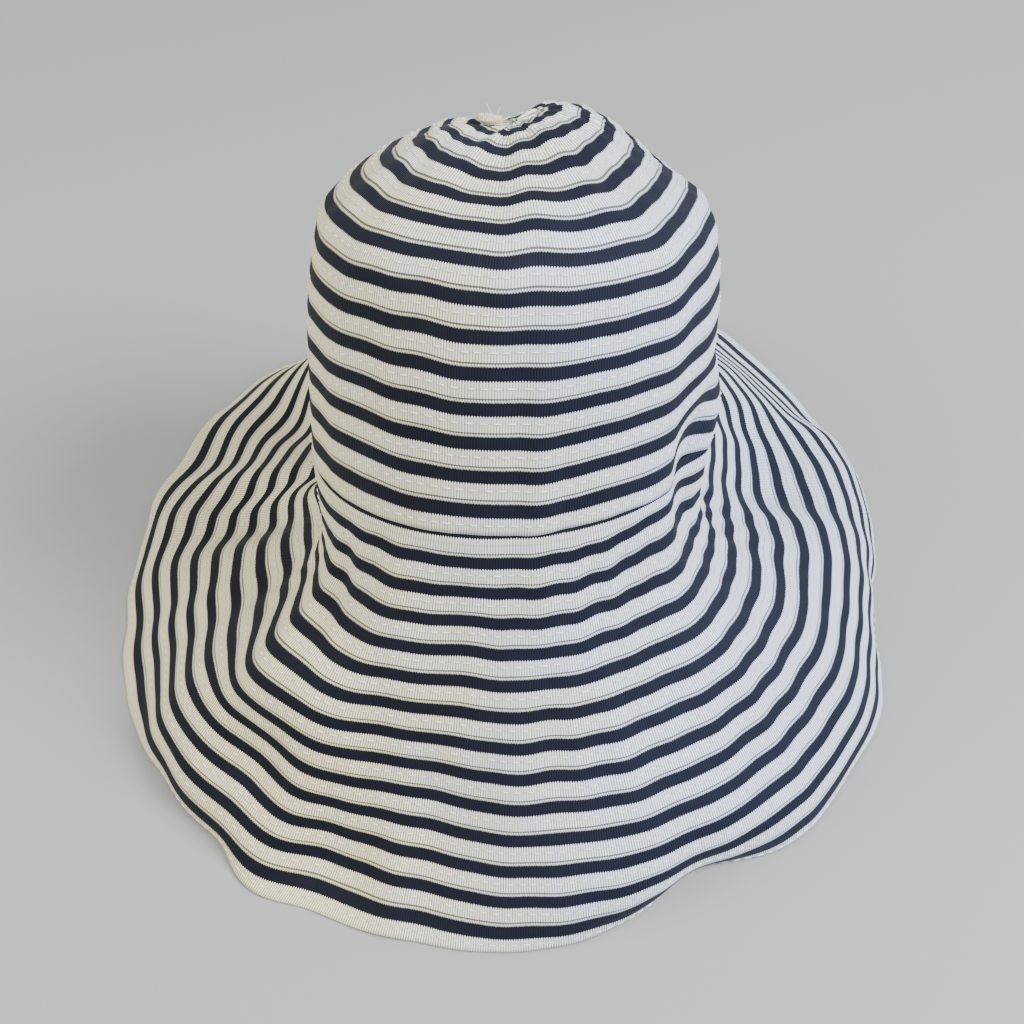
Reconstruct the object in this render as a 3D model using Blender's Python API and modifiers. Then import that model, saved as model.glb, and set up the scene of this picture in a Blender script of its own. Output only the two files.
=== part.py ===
"""Wide-brim bucket hat, sewn from one long striped ribbon: crown, brim and the ribbon's gathered end.

Metres, +Z up. The hat stands on its hem with the crown leaning back, as soft cloth does when set down.
Azimuth 0 is the front of the hat (-Y) and azimuth 90 is its right as seen from the front (+X).
The origin lies on the floor, under the middle of the brim.
"""

import math

import bmesh
import bpy
import numpy as np
from mathutils import Vector
from mathutils.bvhtree import BVHTree

COLLECTION = "wide_brim_bucket_hat"
CUTTERS = "cutters"

# Driving dimensions of the cloth, in metres
CLOTH = 0.0018
GAP = 0.0003
HEM_PRESS = 0.0008

# Driving dimensions of the crown, in metres and degrees
CROWN_RADIUS = 0.0915
CROWN_HEIGHT = 0.1455
CROWN_LEAN = 18.0
CROWN_ROLL = 2.7
CROWN_DRIFT = 1.6

# Driving dimensions of the brim and of the ribbon's gathered end, in metres
BRIM_SLANT = 0.206
KNOT_LENGTH = 0.0150
KNOT_WIDTH = 0.0085
KNOT_HEIGHT = 0.0060
KNOT_OFFSET = 0.0120
KNOT_PLEATS = 5
PLEAT_DEPTH = 0.18

# How far the middle of the seam stands above the floor, as a share of the brim's slant
SEAM_RISE = 0.715

# The share of the slant, next to the seam, over which the brim leaves the line of the crown's wall
ROOT_SHARE = 0.12

# How finely the cloth is divided
COLUMNS = 96
CROWN_ROWS = 12
BRIM_ROWS = 14
KNOT_COLUMNS = 20
KNOT_ROWS = 8
FINE_STEPS = 200
SAME_PLACE = 0.00005

# How often, and by how many radians at most each time, the brim is turned until its hem meets the floor
DROP_ROUNDS = 12
DROP_TURN = 0.2

# Crown sections from the seam up to the tip, as shares of CROWN_RADIUS and of CROWN_HEIGHT
CROWN_SECTIONS = [
    {"radius": 0.995, "height": 0.00},
    {"radius": 0.995, "height": 0.12},
    {"radius": 0.990, "height": 0.25},
    {"radius": 0.985, "height": 0.48},
    {"radius": 0.950, "height": 0.65},
    {"radius": 0.900, "height": 0.76},
    {"radius": 0.790, "height": 0.825},
    {"radius": 0.640, "height": 0.88},
    {"radius": 0.480, "height": 0.92},
    {"radius": 0.330, "height": 0.96},
    {"radius": 0.165, "height": 0.99},
    {"radius": 0.000, "height": 1.00},
]

# Dents and bulges of the crown wall: the front crease, the pinch above the right tuck, the bulge beside it
# and the slump at the back. Azimuth and half width in degrees, height and half height as shares of
# CROWN_HEIGHT, and how far the cloth stands out as a share of CROWN_RADIUS
WALL_DENTS = [
    {"azimuth": 4, "half_width": 12, "height": 0.45, "half_height": 0.60, "out": -0.020},
    {"azimuth": 62, "half_width": 14, "height": 0.05, "half_height": 0.24, "out": -0.075},
    {"azimuth": 83, "half_width": 20, "height": 0.12, "half_height": 0.24, "out": 0.055},
    {"azimuth": 180, "half_width": 60, "height": 0.40, "half_height": 0.40, "out": -0.030},
]

# The left hump of the crown's top, the valley between the humps and the right hump: place, half sizes and
# lift, all as shares of CROWN_RADIUS
TOP_DENTS = [
    {"right": -0.42, "back": 0.05, "half_across": 0.42, "half_along": 0.60, "lift": 0.030},
    {"right": -0.08, "back": 0.00, "half_across": 0.26, "half_along": 0.75, "lift": -0.045},
    {"right": 0.34, "back": 0.15, "half_across": 0.40, "half_along": 0.55, "lift": 0.055},
]

# Brim sections round the hat: slope below the level in degrees at each station along the slant
STATIONS = {"upper": 0.145, "bell": 0.365, "middle": 0.58, "lower": 0.80, "hem": 1.00}
BRIM_SECTIONS = [
    {"azimuth": -165, "upper": 35, "bell": 35, "middle": 35, "lower": 40, "hem": 45},
    {"azimuth": -150, "upper": 35, "bell": 35, "middle": 30, "lower": 35, "hem": 45},
    {"azimuth": -135, "upper": 55, "bell": 45, "middle": 25, "lower": 20, "hem": 40},
    {"azimuth": -120, "upper": 80, "bell": 45, "middle": 20, "lower": 20, "hem": 20},
    {"azimuth": -105, "upper": 80, "bell": 45, "middle": 25, "lower": 20, "hem": 50},
    {"azimuth": -90, "upper": 90, "bell": 35, "middle": 25, "lower": 40, "hem": 50},
    {"azimuth": -75, "upper": 85, "bell": 40, "middle": 30, "lower": 45, "hem": 60},
    {"azimuth": -60, "upper": 85, "bell": 30, "middle": 45, "lower": 60, "hem": 80},
    {"azimuth": -45, "upper": 75, "bell": 25, "middle": 75, "lower": 60, "hem": 75},
    {"azimuth": -30, "upper": 65, "bell": 60, "middle": 70, "lower": 65, "hem": 25},
    {"azimuth": -15, "upper": 65, "bell": 65, "middle": 65, "lower": 50, "hem": 45},
    {"azimuth": 0, "upper": 65, "bell": 60, "middle": 55, "lower": 55, "hem": 70},
    {"azimuth": 15, "upper": 70, "bell": 60, "middle": 55, "lower": 60, "hem": 95},
    {"azimuth": 30, "upper": 65, "bell": 55, "middle": 45, "lower": 65, "hem": 115},
    {"azimuth": 45, "upper": 65, "bell": 45, "middle": 50, "lower": 50, "hem": 90},
    {"azimuth": 60, "upper": 70, "bell": 35, "middle": 40, "lower": 50, "hem": 85},
    {"azimuth": 75, "upper": 75, "bell": 35, "middle": 35, "lower": 55, "hem": 70},
    {"azimuth": 90, "upper": 85, "bell": 30, "middle": 20, "lower": 60, "hem": 70},
    {"azimuth": 105, "upper": 75, "bell": 35, "middle": 10, "lower": 50, "hem": 85},
    {"azimuth": 120, "upper": 50, "bell": 40, "middle": 25, "lower": 40, "hem": 60},
    {"azimuth": 135, "upper": 45, "bell": 40, "middle": 35, "lower": 30, "hem": 30},
    {"azimuth": 150, "upper": 40, "bell": 40, "middle": 35, "lower": 30, "hem": 35},
    {"azimuth": 165, "upper": 35, "bell": 40, "middle": 40, "lower": 35, "hem": 40},
    {"azimuth": 180, "upper": 35, "bell": 35, "middle": 40, "lower": 40, "hem": 45},
]

# Folds that run down the brim: the left overlap, the left ridge, the right tuck and the front crease.
# Azimuth of the crest at the seam and at the hem, and how far the fold reaches to lower and to higher
# azimuths, in degrees; then the shares of the slant between which it shows, and how far the cloth
# stands out as a share of BRIM_SLANT
BRIM_FOLDS = [
    {"seam": -113, "hem": -99, "lower": 7, "higher": 18, "starts": 0.02, "ends": 0.85, "out": 0.036},
    {"seam": -62, "hem": -42, "lower": 14, "higher": 14, "starts": 0.05, "ends": 0.85, "out": 0.035},
    {"seam": 62, "hem": 74, "lower": 14, "higher": 14, "starts": -0.30, "ends": 0.50, "out": -0.012},
    {"seam": 4, "hem": 8, "lower": 8, "higher": 8, "starts": -0.20, "ends": 1.20, "out": -0.006},
]

# Stretches of the hem that stand clear of the floor: degrees, and the height as a share of BRIM_SLANT
HEM_LIFTS = [
    {"azimuth": -120, "half_width": 24, "height": 0.050},
    {"azimuth": 96, "half_width": 18, "height": 0.040},
    {"azimuth": 150, "half_width": 24, "height": 0.060},
]


def bump(distance, half_width):
    """One at distance 0, falling smoothly to zero at the half width and beyond."""
    share = np.clip(np.abs(distance) / half_width, 0, 1)
    return (1 - share**2) ** 2


def ease_in(share):
    """Zero at share 0 and one from share 1 on, level at both ends."""
    share = np.clip(share, 0, 1)
    return share**2 * (3 - 2 * share)


def turn_between(azimuth, other):
    """Signed angle from one azimuth to another, in radians, never more than half a turn."""
    return (azimuth - other + math.pi) % (2 * math.pi) - math.pi


def smooth_line(knots, values, at):
    """Cubic line through the values at the knots, with the slope at each taken from its neighbours."""
    slopes = np.gradient(values, knots, axis=-1)
    at = np.clip(at, knots[0], knots[-1])
    left = np.clip(np.searchsorted(knots, at, side="right") - 1, 0, len(knots) - 2)
    span = knots[left + 1] - knots[left]
    t = (at - knots[left]) / span
    start = (1 + 2 * t) * (1 - t) ** 2 * values[..., left] + t * (1 - t) ** 2 * span * slopes[..., left]
    end = t**2 * (3 - 2 * t) * values[..., left + 1] + t**2 * (t - 1) * span * slopes[..., left + 1]
    return start + end


def smooth_ring(azimuths, values, at):
    """Closed cubic ring through the values at the azimuths, which are in radians."""
    wrapped = np.concatenate([azimuths[-2:] - 2 * math.pi, azimuths, azimuths[:2] + 2 * math.pi])
    rows = np.concatenate([values[-2:], values, values[:2]]).T
    first = azimuths[0]
    return smooth_line(wrapped, rows, (at - first) % (2 * math.pi) + first).T


def crown_outline():
    """Arc length up from the seam, radius and height of the crown's outline, finely divided."""
    radii = np.array([row["radius"] for row in CROWN_SECTIONS]) * CROWN_RADIUS
    heights = np.array([row["height"] for row in CROWN_SECTIONS]) * CROWN_HEIGHT
    steps = np.hypot(np.diff(radii), np.diff(heights))
    knots = np.concatenate([[0], np.cumsum(steps)])
    fine = np.linspace(0, knots[-1], FINE_STEPS)
    radius = smooth_line(knots, radii, fine)
    height = smooth_line(knots, heights, fine)
    arc = np.concatenate([[0], np.cumsum(np.hypot(np.diff(radius), np.diff(height)))])
    return arc, radius, height


CROWN_ARC, ARC_RADIUS, ARC_HEIGHT = crown_outline()
CROWN_LENGTH = CROWN_ARC[-1]


def stand_crown(points):
    """Points of the upright crown, leaned back about the middle of the seam and raised to its height."""
    lean = math.radians(CROWN_LEAN)
    x, y, z = points[..., 0], points[..., 1], points[..., 2]
    level = 1 - z / CROWN_HEIGHT
    rolled = z + x * math.tan(math.radians(CROWN_ROLL)) * level
    drifted = x + z * math.tan(math.radians(CROWN_DRIFT))
    back = y * math.cos(lean) + rolled * math.sin(lean)
    up = rolled * math.cos(lean) - y * math.sin(lean) + SEAM_RISE * BRIM_SLANT
    return np.stack([drifted, back, up], axis=-1)


def crown_surface(azimuth, arc):
    """Outer face of the crown, by azimuth in radians and arc length in metres up from the seam."""
    azimuth, arc = np.broadcast_arrays(azimuth, arc)
    radius = np.interp(arc, CROWN_ARC, ARC_RADIUS)
    height = np.interp(arc, CROWN_ARC, ARC_HEIGHT)
    share = height / CROWN_HEIGHT
    for dent in WALL_DENTS:
        aside = turn_between(azimuth, math.radians(dent["azimuth"]))
        across = bump(aside, math.radians(dent["half_width"]))
        along = bump(share - dent["height"], dent["half_height"])
        radius = radius * (1 + dent["out"] * across * along)
    x = radius * np.sin(azimuth)
    y = -radius * np.cos(azimuth)
    for dent in TOP_DENTS:
        across = bump(x / CROWN_RADIUS - dent["right"], dent["half_across"])
        along = bump(y / CROWN_RADIUS - dent["back"], dent["half_along"])
        height = height + dent["lift"] * CROWN_RADIUS * across * along
    return stand_crown(np.stack([x, y, height], axis=-1))


def seam_slope(azimuth, outward):
    """Slope below the level, at the seam, of the line in the crown's wall that keeps to its own azimuth."""
    aside = np.stack([np.cos(azimuth), np.sin(azimuth), np.zeros_like(azimuth)], axis=-1)
    turn = CLOTH / CROWN_RADIUS
    along_ring = crown_surface(azimuth + turn, 0.0) - crown_surface(azimuth - turn, 0.0)
    falling = crown_surface(azimuth, 0.0) - crown_surface(azimuth, CLOTH)
    slip = (falling * aside).sum(axis=-1) / (along_ring * aside).sum(axis=-1)
    falling = falling - slip[:, None] * along_ring
    return np.arctan2(-falling[:, 2], (falling * outward).sum(axis=-1))


def brim_slopes(azimuth, first_slope):
    """Slopes of the brim at every fine step along the slant, one row for each azimuth, in radians."""
    azimuths = np.radians([row["azimuth"] for row in BRIM_SECTIONS])
    table = np.radians([[row[name] for name in STATIONS] for row in BRIM_SECTIONS])
    slopes = np.column_stack([first_slope, smooth_ring(azimuths, table, azimuth)])
    knots = np.array([0.0, *STATIONS.values()])
    middles = (np.arange(FINE_STEPS) + 0.5) / FINE_STEPS
    return smooth_line(knots, slopes, middles)


def hem_height(azimuth):
    """Height of the hem's lower edge; pressed stretches reach just under the floor, where they are cut."""
    lift = np.zeros_like(azimuth)
    for row in HEM_LIFTS:
        aside = turn_between(azimuth, math.radians(row["azimuth"]))
        lift = lift + row["height"] * BRIM_SLANT * bump(aside, math.radians(row["half_width"]))
    return lift - HEM_PRESS


def drop_to_floor(slopes, drop):
    """The slopes, each row turned by one angle below its root until its fine steps fall by the drop."""
    step = BRIM_SLANT / FINE_STEPS
    share = ease_in((np.arange(FINE_STEPS) + 0.5) / FINE_STEPS / ROOT_SHARE)
    give = np.zeros(len(slopes))
    for _ in range(DROP_ROUNDS):
        turned = slopes + give[:, None] * share
        fall = np.sin(turned).sum(axis=1) * step
        gain = (np.cos(turned) * share).sum(axis=1) * step
        give = give - np.clip((fall - drop) / gain, -DROP_TURN, DROP_TURN)
    return slopes + give[:, None] * share


def brim_surface(azimuth, slant):
    """Outer face of the brim, a row for each azimuth in radians and a column for each metre of slant."""
    outward = np.stack([np.sin(azimuth), -np.cos(azimuth), np.zeros_like(azimuth)], axis=-1)
    seam = crown_surface(azimuth, 0.0)
    slopes_at_seam = seam_slope(azimuth, outward)
    slopes = drop_to_floor(brim_slopes(azimuth, slopes_at_seam), seam[:, 2] - hem_height(azimuth))
    step = BRIM_SLANT / FINE_STEPS
    reach = np.pad(np.cumsum(np.cos(slopes), axis=1) * step, ((0, 0), (1, 0)))
    fall = np.pad(np.cumsum(np.sin(slopes), axis=1) * step, ((0, 0), (1, 0)))
    place = np.clip(slant / step, 0, FINE_STEPS - 1e-6)
    left = place.astype(int)
    between = place - left
    out = reach[:, left] * (1 - between) + reach[:, left + 1] * between
    down = fall[:, left] * (1 - between) + fall[:, left + 1] * between
    share = slant / BRIM_SLANT
    for fold in BRIM_FOLDS:
        line = np.radians(fold["seam"] + (fold["hem"] - fold["seam"]) * share)
        aside = turn_between(azimuth[:, None], line[None, :])
        width = np.radians(np.where(aside < 0, fold["lower"], fold["higher"]))
        across = bump(aside, width)
        middle = (fold["starts"] + fold["ends"]) / 2
        along = bump(share - middle, (fold["ends"] - fold["starts"]) / 2) * ease_in(share / ROOT_SHARE)
        out = out + fold["out"] * BRIM_SLANT * across * along[None, :]
    points = seam[:, None, :] + out[..., None] * outward[:, None, :]
    points[..., 2] -= down
    return points


def middle_of_brim():
    """The point of the floor under the middle of the brim, which becomes the origin."""
    azimuth = np.linspace(-math.pi, math.pi, COLUMNS, endpoint=False)
    hem = brim_surface(azimuth, np.linspace(GAP, BRIM_SLANT, BRIM_ROWS))
    low = hem.min(axis=(0, 1))
    high = hem.max(axis=(0, 1))
    return np.array([(low[0] + high[0]) / 2, (low[1] + high[1]) / 2, 0.0])


ORIGIN = middle_of_brim()


def clear_scene():
    """Empty the scene, so that it holds nothing but the hat."""
    for item in list(bpy.data.objects):
        bpy.data.objects.remove(item, do_unlink=True)


def add_collection(name):
    """A collection of this name in the scene."""
    collection = bpy.data.collections.new(name)
    bpy.context.scene.collection.children.link(collection)
    return collection


def make_material(name, color, roughness):
    """A plain cloth material."""
    material = bpy.data.materials.new(name)
    material.use_nodes = True
    shader = material.node_tree.nodes["Principled BSDF"]
    shader.inputs["Base Color"].default_value = (*color, 1.0)
    shader.inputs["Roughness"].default_value = roughness
    shader.inputs["Metallic"].default_value = 0.0
    return material


def ribbon_material():
    """Ivory ribbon with a navy stripe, in the one color that the two make from afar."""
    return make_material("striped_ribbon", (0.42, 0.42, 0.44), 0.75)


def knot_material():
    """The ribbon's cream end, where only its pale band shows."""
    return make_material("cream_ribbon", (0.72, 0.68, 0.58), 0.70)


def wrapped_grid(columns, rows):
    """A flat grid of quads and, for each of its vertices, the column and row that it stands at."""
    cloth = bmesh.new()
    bmesh.ops.create_grid(cloth, x_segments=columns, y_segments=rows, size=0.5)
    places = np.array([vertex.co[:] for vertex in cloth.verts])
    column = np.rint((places[:, 0] + 0.5) * columns).astype(int)
    row = np.rint((places[:, 1] + 0.5) * rows).astype(int)
    return cloth, column, row


def add_cloth(name, surface, columns, rows, material, collection):
    """A sheet wrapped round the hat through a grid of points and given the cloth's thickness."""
    cloth, column, row = wrapped_grid(columns, rows)
    points = surface[column % columns, row] - ORIGIN
    for vertex, point in zip(cloth.verts, points):
        vertex.co = point
    bmesh.ops.remove_doubles(cloth, verts=cloth.verts, dist=SAME_PLACE)
    mesh = bpy.data.meshes.new(name)
    cloth.to_mesh(mesh)
    cloth.free()
    mesh.shade_smooth()
    mesh.materials.append(material)
    item = bpy.data.objects.new(name, mesh)
    collection.objects.link(item)
    wall = item.modifiers.new("wall", "SOLIDIFY")
    wall.thickness = CLOTH
    wall.offset = -1.0
    return item


def add_crown(collection, material):
    """The crown: a dome leaning back, open below, whose lower edge stops short of the brim by the gap."""
    azimuth = np.linspace(0, 2 * math.pi, COLUMNS, endpoint=False)
    arc = np.array([0, CLOTH, *np.linspace(0, CROWN_LENGTH, CROWN_ROWS)[1:]])
    surface = crown_surface(azimuth[:, None], arc[None, :])
    return add_cloth("crown", surface, COLUMNS, len(arc) - 1, material, collection)


def add_floor_cutter(collection):
    """A slab under the floor that presses the hem's lower edge flat."""
    side = 4 * (CROWN_RADIUS + BRIM_SLANT)
    bpy.ops.mesh.primitive_cube_add(size=side)
    slab = bpy.context.object
    slab.name = "floor_cutter"
    slab.location = (0, 0, -side / 2)
    slab.hide_render = True
    slab.display_type = "WIRE"
    for owner in slab.users_collection:
        owner.objects.unlink(slab)
    collection.objects.link(slab)
    return slab


def add_brim(collection, cutters, material):
    """The brim: a wide bell that falls from the seam to the floor in folds, with its hem pressed flat."""
    azimuth = np.linspace(0, 2 * math.pi, COLUMNS, endpoint=False)
    slant = np.array([GAP, GAP + CLOTH, *np.linspace(0, BRIM_SLANT, BRIM_ROWS)[1:]])
    surface = brim_surface(azimuth, slant)[:, ::-1]
    brim = add_cloth("brim", surface, COLUMNS, len(slant) - 1, material, collection)
    press = brim.modifiers.new("pressed_hem", "BOOLEAN")
    press.operation = "DIFFERENCE"
    press.solver = "EXACT"
    press.object = add_floor_cutter(cutters)
    return brim


def knot_rise(angle, share):
    """Height of the knot's top as a share of its full height: pleats that gather towards its middle."""
    pleats = 1 + PLEAT_DEPTH * np.cos(KNOT_PLEATS * angle) * share
    return np.sqrt(np.clip(1 - share**2, 0, 1)) * pleats


def add_knot(collection, crown, material):
    """The ribbon's gathered end: a small pleated tuft, seated on the cloth of the crown's top."""
    bpy.context.view_layer.update()
    worn = crown.evaluated_get(bpy.context.evaluated_depsgraph_get())
    cloth = BVHTree.FromObject(worn, bpy.context.evaluated_depsgraph_get())
    foot = crown_surface(np.array(-math.pi / 2), np.array(CROWN_LENGTH - KNOT_OFFSET)) - ORIGIN
    lean = math.radians(CROWN_LEAN)
    along = Vector((1, 0, 0))
    up = Vector((0, math.sin(lean), math.cos(lean)))
    across = up.cross(along)
    tuft = bmesh.new()
    bmesh.ops.create_uvsphere(tuft, u_segments=KNOT_COLUMNS, v_segments=KNOT_ROWS, radius=1.0)
    for vertex in tuft.verts:
        share = min(1.0, math.hypot(vertex.co.x, vertex.co.y))
        angle = math.atan2(vertex.co.y, vertex.co.x)
        out = along * (vertex.co.x * KNOT_LENGTH / 2) + across * (vertex.co.y * KNOT_WIDTH / 2)
        start = Vector(foot) + out + up * (2 * KNOT_HEIGHT)
        seat = cloth.ray_cast(start, -up)[0]
        rise = KNOT_HEIGHT * knot_rise(angle, share) if vertex.co.z > 0.01 else 0.0
        vertex.co = seat + up * (GAP + rise)
    bmesh.ops.dissolve_degenerate(tuft, edges=tuft.edges, dist=SAME_PLACE / 5)
    mesh = bpy.data.meshes.new("ribbon_knot")
    tuft.to_mesh(mesh)
    tuft.free()
    mesh.shade_smooth()
    mesh.materials.append(material)
    knot = bpy.data.objects.new("ribbon_knot", mesh)
    collection.objects.link(knot)
    return knot


def build_hat():
    """The whole hat, in its own collection."""
    clear_scene()
    hat = add_collection(COLLECTION)
    cutters = add_collection(CUTTERS)
    ribbon = ribbon_material()
    crown = add_crown(hat, ribbon)
    add_brim(hat, cutters, ribbon)
    add_knot(hat, crown, knot_material())


build_hat()
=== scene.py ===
# %% [markdown]
# # A wide-brim bucket hat, sewn from one long striped ribbon
# The real hat has no cut pattern. One grosgrain ribbon, navy in the middle and ivory at its edges, is
# wound from the crown's tip to the hem, and each round is stitched over the top of the next one, like
# roof shingles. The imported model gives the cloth's form, and this lesson dresses it round by round.

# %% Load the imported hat
import math

import bpy
import numpy as np
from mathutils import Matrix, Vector


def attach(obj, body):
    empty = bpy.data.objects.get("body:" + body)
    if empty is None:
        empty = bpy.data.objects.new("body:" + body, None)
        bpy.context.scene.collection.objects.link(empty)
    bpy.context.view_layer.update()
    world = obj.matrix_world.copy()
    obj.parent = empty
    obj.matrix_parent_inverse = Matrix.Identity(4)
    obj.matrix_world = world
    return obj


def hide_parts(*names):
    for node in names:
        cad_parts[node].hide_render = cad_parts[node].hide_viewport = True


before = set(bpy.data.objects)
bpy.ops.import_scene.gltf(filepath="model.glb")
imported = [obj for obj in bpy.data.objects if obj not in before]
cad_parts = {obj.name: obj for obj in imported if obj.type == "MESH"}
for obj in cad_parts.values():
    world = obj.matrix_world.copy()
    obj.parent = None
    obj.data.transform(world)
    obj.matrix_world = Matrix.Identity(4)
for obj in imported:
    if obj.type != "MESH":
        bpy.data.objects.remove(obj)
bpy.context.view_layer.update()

print("packed nodes:", sorted(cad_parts))

# %% [markdown]
# ## The camera
# The camera looks down on the front of the hat through a standard lens. It is placed first, because every
# later choice is judged through it.

# %% Place the camera
CAMERA_PLACE = (0.0022, -0.4646, 0.6065)
CAMERA_DOWN = 49.8
CAMERA_LENS = 47.5

camera_data = bpy.data.cameras.new("camera")
camera_data.lens = CAMERA_LENS
camera_data.sensor_width = 36.0
camera = bpy.data.objects.new("camera", camera_data)
camera.location = CAMERA_PLACE
camera.rotation_euler = (math.radians(90 - CAMERA_DOWN), 0, 0)
bpy.context.scene.collection.objects.link(camera)
bpy.context.scene.camera = camera

# %% [markdown]
# ## The hat's sizes
# Every length below is in metres, and every share is a share of one of these lengths. Azimuth 0 is the
# front of the hat and azimuth 90 is its right as seen from the front.

# %% Name the sizes
CROWN_RADIUS = 0.0915
CROWN_HEIGHT = 0.1455
CROWN_LEAN = 18.0
CROWN_ROLL = 2.7
CROWN_DRIFT = 1.6
BRIM_SLANT = 0.206
SEAM_RISE = 0.715
ROOT_SHARE = 0.12
HEM_PRESS = 0.0008
FINE_STEPS = 200
DROP_ROUNDS = 12
DROP_TURN = 0.2

# Rounds of ribbon on the brim, and the height of one round
BRIM_ROUNDS = 13.75
ROUND = BRIM_SLANT / BRIM_ROUNDS
print("one round of ribbon is", round(ROUND * 1000, 2), "mm high")

# %% Tables of the hat's form
CROWN_SECTIONS = [
    {"radius": 0.995, "height": 0.00},
    {"radius": 0.995, "height": 0.12},
    {"radius": 0.990, "height": 0.25},
    {"radius": 0.985, "height": 0.48},
    {"radius": 0.950, "height": 0.65},
    {"radius": 0.900, "height": 0.76},
    {"radius": 0.790, "height": 0.825},
    {"radius": 0.640, "height": 0.88},
    {"radius": 0.480, "height": 0.92},
    {"radius": 0.330, "height": 0.96},
    {"radius": 0.165, "height": 0.99},
    {"radius": 0.000, "height": 1.00},
]

# The hollow at the front with a low and a high ridge in it, the pinch above the right tuck, the bulge
# beside the pinch, and the slump at the back
WALL_DENTS = [
    {"azimuth": 4, "half_width": 12, "height": 0.45, "half_height": 0.60, "out": -0.020},
    {"azimuth": 8, "half_width": 7, "height": 0.28, "half_height": 0.50, "out": 0.026},
    {"azimuth": -2, "half_width": 8, "height": 0.80, "half_height": 0.30, "out": 0.018},
    {"azimuth": 62, "half_width": 14, "height": 0.05, "half_height": 0.24, "out": -0.075},
    {"azimuth": 83, "half_width": 20, "height": 0.12, "half_height": 0.24, "out": 0.055},
    {"azimuth": 180, "half_width": 60, "height": 0.40, "half_height": 0.40, "out": -0.030},
]

# The left hump of the crown's top, the valley between the humps, the right hump and its low shoulder
TOP_DENTS = [
    {"right": -0.42, "back": 0.05, "half_across": 0.42, "half_along": 0.60, "lift": 0.030},
    {"right": -0.08, "back": 0.00, "half_across": 0.26, "half_along": 0.75, "lift": -0.045},
    {"right": 0.30, "back": 0.15, "half_across": 0.40, "half_along": 0.55, "lift": 0.080},
    {"right": 0.74, "back": 0.10, "half_across": 0.34, "half_along": 0.80, "lift": -0.045},
]

# Slope of the brim below the level, in degrees, at stations along its slant
STATIONS = {"upper": 0.145, "bell": 0.365, "middle": 0.58, "lower": 0.80, "hem": 1.00}
BRIM_SECTIONS = [
    {"azimuth": -165, "upper": 30, "bell": 35, "middle": 35, "lower": 40, "hem": 45},
    {"azimuth": -150, "upper": 15, "bell": 30, "middle": 40, "lower": 60, "hem": 45},
    {"azimuth": -135, "upper": 55, "bell": 50, "middle": 35, "lower": 15, "hem": 50},
    {"azimuth": -120, "upper": 90, "bell": 20, "middle": 25, "lower": 25, "hem": 10},
    {"azimuth": -105, "upper": 80, "bell": 60, "middle": 20, "lower": 15, "hem": 60},
    {"azimuth": -90, "upper": 95, "bell": 30, "middle": 25, "lower": 35, "hem": 50},
    {"azimuth": -75, "upper": 90, "bell": 45, "middle": 25, "lower": 45, "hem": 50},
    {"azimuth": -60, "upper": 90, "bell": 35, "middle": 40, "lower": 55, "hem": 90},
    {"azimuth": -45, "upper": 85, "bell": 35, "middle": 85, "lower": 45, "hem": 100},
    {"azimuth": -30, "upper": 70, "bell": 65, "middle": 70, "lower": 70, "hem": 20},
    {"azimuth": -15, "upper": 70, "bell": 60, "middle": 65, "lower": 45, "hem": 45},
    {"azimuth": 0, "upper": 70, "bell": 60, "middle": 60, "lower": 55, "hem": 65},
    {"azimuth": 15, "upper": 70, "bell": 60, "middle": 55, "lower": 55, "hem": 100},
    {"azimuth": 30, "upper": 65, "bell": 45, "middle": 40, "lower": 55, "hem": 125},
    {"azimuth": 45, "upper": 65, "bell": 35, "middle": 45, "lower": 45, "hem": 80},
    {"azimuth": 60, "upper": 65, "bell": 35, "middle": 40, "lower": 45, "hem": 85},
    {"azimuth": 75, "upper": 80, "bell": 25, "middle": 30, "lower": 45, "hem": 60},
    {"azimuth": 90, "upper": 85, "bell": 30, "middle": 20, "lower": 55, "hem": 85},
    {"azimuth": 105, "upper": 70, "bell": 50, "middle": 15, "lower": 45, "hem": 75},
    {"azimuth": 120, "upper": 50, "bell": 55, "middle": 35, "lower": 40, "hem": 75},
    {"azimuth": 135, "upper": 35, "bell": 35, "middle": 45, "lower": 50, "hem": 35},
    {"azimuth": 150, "upper": 35, "bell": 35, "middle": 40, "lower": 40, "hem": 35},
    {"azimuth": 165, "upper": 35, "bell": 40, "middle": 40, "lower": 35, "hem": 40},
    {"azimuth": 180, "upper": 35, "bell": 35, "middle": 40, "lower": 40, "hem": 45},
]

# The left overlap, the left ridge, the right tuck and the front crease, as they run down the brim
BRIM_FOLDS = [
    {"seam": -119, "hem": -99, "lower": 7, "higher": 18, "starts": 0.02, "ends": 0.85, "out": 0.036},
    {"seam": -62, "hem": -42, "lower": 14, "higher": 14, "starts": 0.05, "ends": 0.85, "out": 0.035},
    {"seam": 62, "hem": 74, "lower": 14, "higher": 14, "starts": -0.30, "ends": 0.50, "out": -0.012},
    {"seam": 4, "hem": 8, "lower": 8, "higher": 8, "starts": -0.20, "ends": 1.20, "out": -0.006},
]

# Stretches of the hem that stand clear of the floor
HEM_LIFTS = [
    {"azimuth": -120, "half_width": 24, "height": 0.038},
    {"azimuth": 150, "half_width": 24, "height": 0.080},
]

# %% [markdown]
# ## Smooth lines from short tables
# A dent is a bump that falls to zero at its half width. A section is a cubic line through the rows of a
# table. Both are worked out for whole arrays at once, so that a surface is one call.

# %% Bumps and smooth lines
def bump(distance, half_width):
    """(1 - q squared) squared, with q the distance as a share of the half width, and 0 beyond it."""
    share = np.clip(np.abs(distance) / half_width, 0, 1)
    return (1 - share**2) ** 2


def ease_in(share):
    """q squared times (3 - 2 q): 0 at share 0 and 1 from share 1 on, level at both ends."""
    share = np.clip(share, 0, 1)
    return share**2 * (3 - 2 * share)


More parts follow.
